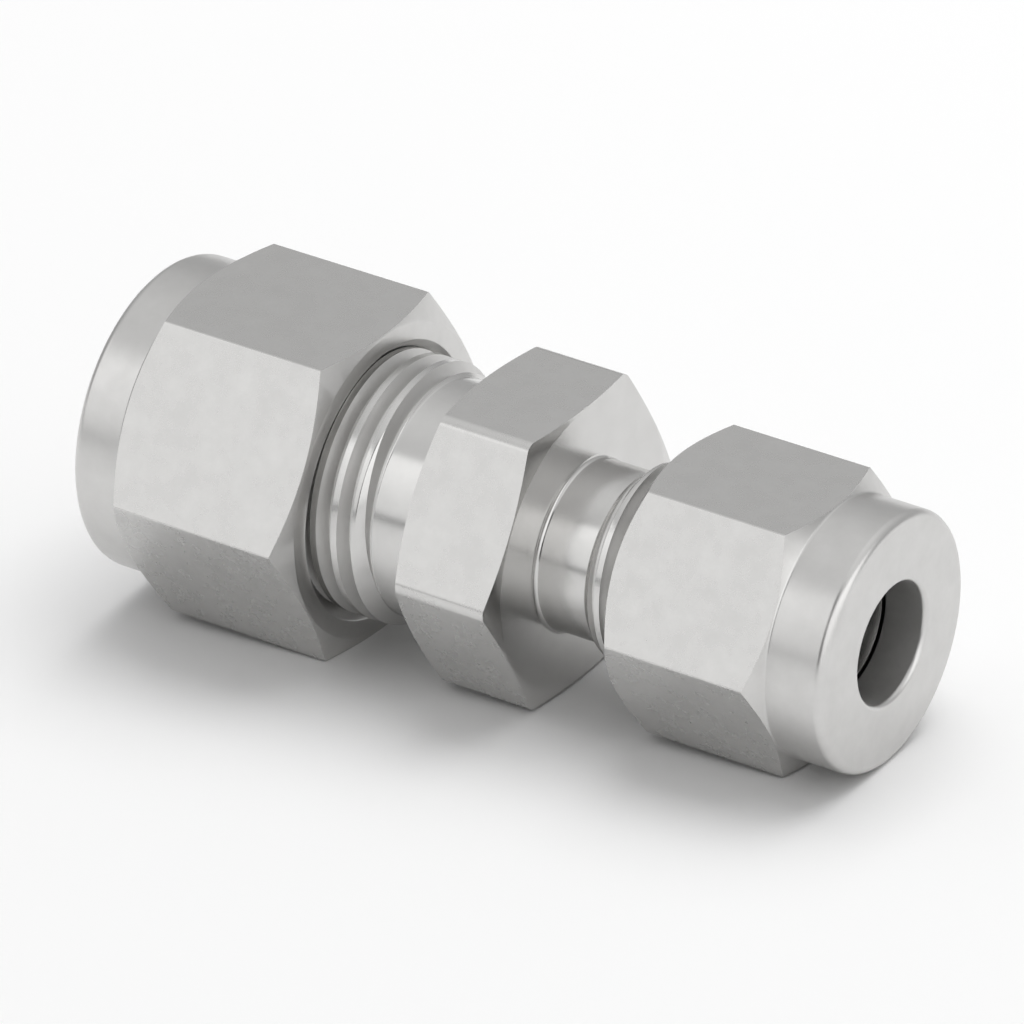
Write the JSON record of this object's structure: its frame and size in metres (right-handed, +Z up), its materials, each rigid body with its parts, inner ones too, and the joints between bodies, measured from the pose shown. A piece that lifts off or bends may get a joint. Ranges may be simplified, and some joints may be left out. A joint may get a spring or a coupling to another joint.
{
  "type": "reducing union",
  "caption": "Stainless tube fitting that joins a tube to a thinner one in line: a turned hexagon body, and at each end a hexagon nut over a front and a back ferrule.",
  "frame": {"origin": "on the tube axis, half-way between the outer faces of the two nuts", "axes": "+X along the tube axis towards the thinner tube, +Z up, square to the top flat of each hexagon"},
  "size_m": [0.045, 0.0202, 0.0174],
  "materials": {
    "body_steel": "turned and polished stainless steel",
    "nut_steel": "satin stainless bar with turned collars",
    "ferrule_steel": "smooth turned stainless steel"
  },
  "bodies": {
    "union_body": {"union_body": "body_steel"},
    "large_ferrules": {"large_front_ferrule": "ferrule_steel", "large_back_ferrule": "ferrule_steel"},
    "large_nut": {"large_nut": "nut_steel"},
    "small_ferrules": {"small_front_ferrule": "ferrule_steel", "small_back_ferrule": "ferrule_steel"},
    "small_nut": {"small_nut": "nut_steel"}
  },
  "joints": [
    {"name": "large_nut_travel", "type": "slide", "parent": "union_body", "child": "large_ferrules", "axis": [-1, 0, 0], "range_m": [0, 0.00572]},
    {"name": "large_nut_turn", "type": "hinge", "parent": "large_ferrules", "child": "large_nut", "pos_m": [-0.01494, 0, 0], "axis": [-1, 0, 0], "range_deg": [0, 1620]},
    {"name": "small_nut_travel", "type": "slide", "parent": "union_body", "child": "small_ferrules", "axis": [1, 0, 0], "range_m": [0, 0.00509]},
    {"name": "small_nut_turn", "type": "hinge", "parent": "small_ferrules", "child": "small_nut", "pos_m": [0.01557, 0, 0], "axis": [1, 0, 0], "range_deg": [0, 1440]}
  ],
  "couplings": [
    {"joint": "large_nut_travel", "follows": "large_nut_turn", "m_per_rad": 0.00020213},
    {"joint": "small_nut_travel", "follows": "small_nut_turn", "m_per_rad": 0.00020213}
  ]
}
